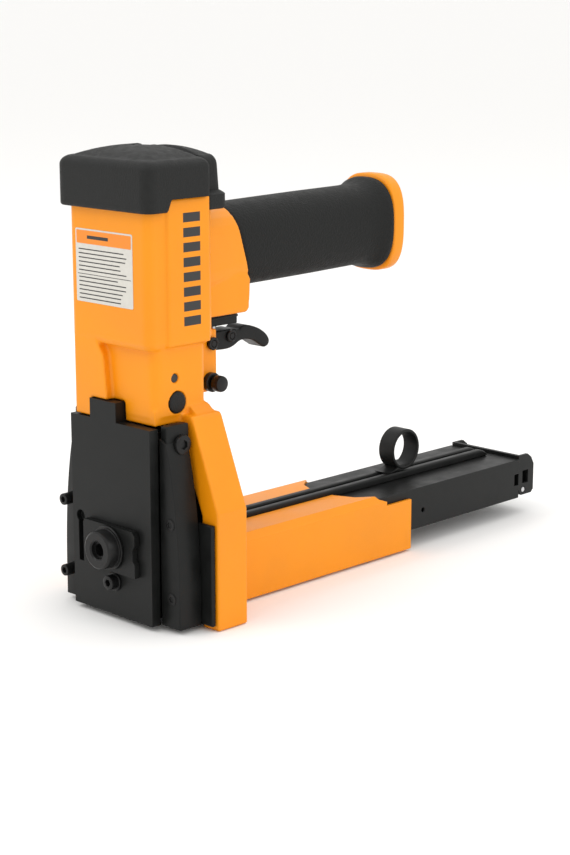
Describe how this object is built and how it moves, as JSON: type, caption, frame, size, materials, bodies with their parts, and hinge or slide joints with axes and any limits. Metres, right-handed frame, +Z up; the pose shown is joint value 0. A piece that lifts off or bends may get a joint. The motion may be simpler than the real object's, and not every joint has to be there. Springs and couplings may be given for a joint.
{
  "type": "pneumatic carton stapler",
  "caption": "Air-driven carton closing stapler: upright cylinder with side handle and trigger, clinching nose, and a long low staple magazine with pull ring.",
  "frame": {"origin": "centre of the base, on the surface that the tool's feet stand on", "axes": "+Z up, +Y from the nose to the magazine's rear end, +X to the side of the pull pin"},
  "size_m": [0.108, 0.3292, 0.24],
  "materials": {
    "yellow_paint": "yellow-orange paint over a die casting or folded sheet, satin gloss",
    "black_plastic": "fine-textured black moulding",
    "grip_rubber": "soft black grip with a pebbled surface",
    "seal_rubber": "moulded seal rubber",
    "bright_steel": "ground and bright steel",
    "brass": "turned brass",
    "black_steel": "black oxide and powder-coated steel"
  },
  "bodies": {
    "root": {"air_inlet_bush": "brass", "anvil_pin_left": "bright_steel", "anvil_pin_right": "bright_steel", "body_casting": "yellow_paint", "cap_screw": "black_steel", "cheek_screw_left_1": "black_steel", "cheek_screw_left_2": "black_steel", "cheek_screw_right_1": "black_steel", "cheek_screw_right_2": "black_steel", "cylinder_liner": "bright_steel", "drive_guide_front": "black_steel", "drive_guide_rear": "black_steel", "end_screw_1": "black_steel", "end_screw_2": "black_steel", "exhaust_deflector": "black_plastic", "feed_spring": "bright_steel", "front_plate": "black_steel", "front_screw": "black_steel", "grip_sleeve": "grip_rubber", "handle_end_cap": "yellow_paint", "knob_stud": "black_steel", "latch_pin": "bright_steel", "leg_guard_left": "black_steel", "leg_guard_right": "black_steel", "magazine_channel": "black_steel", "magazine_housing": "yellow_paint", "nose_back_plate": "black_steel", "nose_frame": "yellow_paint", "piston_bumper": "seal_rubber", "pivot_screw_left": "black_steel", "pivot_screw_right": "black_steel", "rail_left": "black_steel", "rail_right": "black_steel", "side_cheek_left": "black_steel", "side_cheek_right": "black_steel", "side_plug_left": "black_plastic", "side_plug_right": "black_plastic", "spring_guide_rod": "bright_steel", "staple_core": "bright_steel", "staple_stick": "bright_steel", "top_cap": "black_plastic", "trigger_pivot_pin": "black_steel", "trigger_valve_block": "black_plastic"},
    "trigger_body": {"trigger": "black_plastic", "trigger_rocker_pin": "bright_steel"},
    "stem_body": {"valve_stem": "bright_steel"},
    "piston_body": {"piston": "bright_steel", "piston_seal": "seal_rubber", "driver_blade": "bright_steel"},
    "anvil_left_body": {"clinch_anvil_left": "bright_steel"},
    "anvil_right_body": {"clinch_anvil_right": "bright_steel"},
    "adjuster_body": {"depth_adjuster_plate": "black_steel"},
    "knob_body": {"adjuster_knob": "black_steel"},
    "pusher_body": {"staple_pusher": "black_steel", "pull_ring": "black_steel"},
    "latch_body": {"end_latch": "black_steel"},
    "lock_pin_body": {"magazine_lock_pin": "black_steel"},
    "head_valve_body": {"head_valve": "seal_rubber"}
  },
  "joints": [
    {"name": "trigger_pull", "type": "hinge", "parent": "root", "child": "trigger_body", "pos_m": [0, -0.09735, 0.138], "axis": [1, 0, 0], "range_deg": [0, 5], "stiffness_Nm_per_rad": 0.6, "springref_deg": -14.32},
    {"name": "valve_stem_lift", "type": "slide", "parent": "root", "child": "stem_body", "axis": [0, 0, 1], "range_m": [0, 0.0016], "stiffness_N_per_m": 0.5, "springref_m": 0.0275},
    {"name": "piston_drive", "type": "slide", "parent": "root", "child": "piston_body", "axis": [0, 0, -1], "range_m": [0, 0.036]},
    {"name": "anvil_right_sweep", "type": "hinge", "parent": "root", "child": "anvil_right_body", "pos_m": [0.0255, -0.12645, 0.0105], "axis": [0, 1, 0], "range_deg": [0, 120]},
    {"name": "anvil_left_sweep", "type": "hinge", "parent": "root", "child": "anvil_left_body", "pos_m": [-0.0255, -0.12645, 0.0105], "axis": [0, -1, 0], "range_deg": [0, 120]},
    {"name": "depth_adjust", "type": "slide", "parent": "root", "child": "adjuster_body", "axis": [0, 0, 1], "range_m": [0, 0.0045]},
    {"name": "knob_turn", "type": "hinge", "parent": "root", "child": "knob_body", "pos_m": [0.002, -0.15775, 0.039], "axis": [0, -1, 0], "range_deg": [-180, 180]},
    {"name": "pusher_pull", "type": "slide", "parent": "root", "child": "pusher_body", "axis": [0, 1, 0], "range_m": [0, 0.045], "stiffness_N_per_m": 60, "springref_m": -0.08, "deforming": ["feed_spring"]},
    {"name": "latch_open", "type": "hinge", "parent": "root", "child": "latch_body", "pos_m": [0, 0.15455, 0.015], "axis": [-1, 0, 0], "range_deg": [0, 80]},
    {"name": "lock_pin_pull", "type": "slide", "parent": "root", "child": "lock_pin_body", "axis": [1, 0, 0], "range_m": [0, 0.006], "stiffness_N_per_m": 400, "springref_m": -0.008},
    {"name": "head_valve_lift", "type": "slide", "parent": "root", "child": "head_valve_body", "axis": [0, 0, 1], "range_m": [0, 0.0015], "stiffness_N_per_m": 600, "springref_m": -0.004}
  ],
  "couplings": [
    {"joint": "valve_stem_lift", "follows": "trigger_pull", "m_per_rad": 0.0161},
    {"joint": "anvil_right_sweep", "follows": "piston_drive", "rad_per_m": 58},
    {"joint": "anvil_left_sweep", "follows": "piston_drive", "rad_per_m": 58}
  ]
}
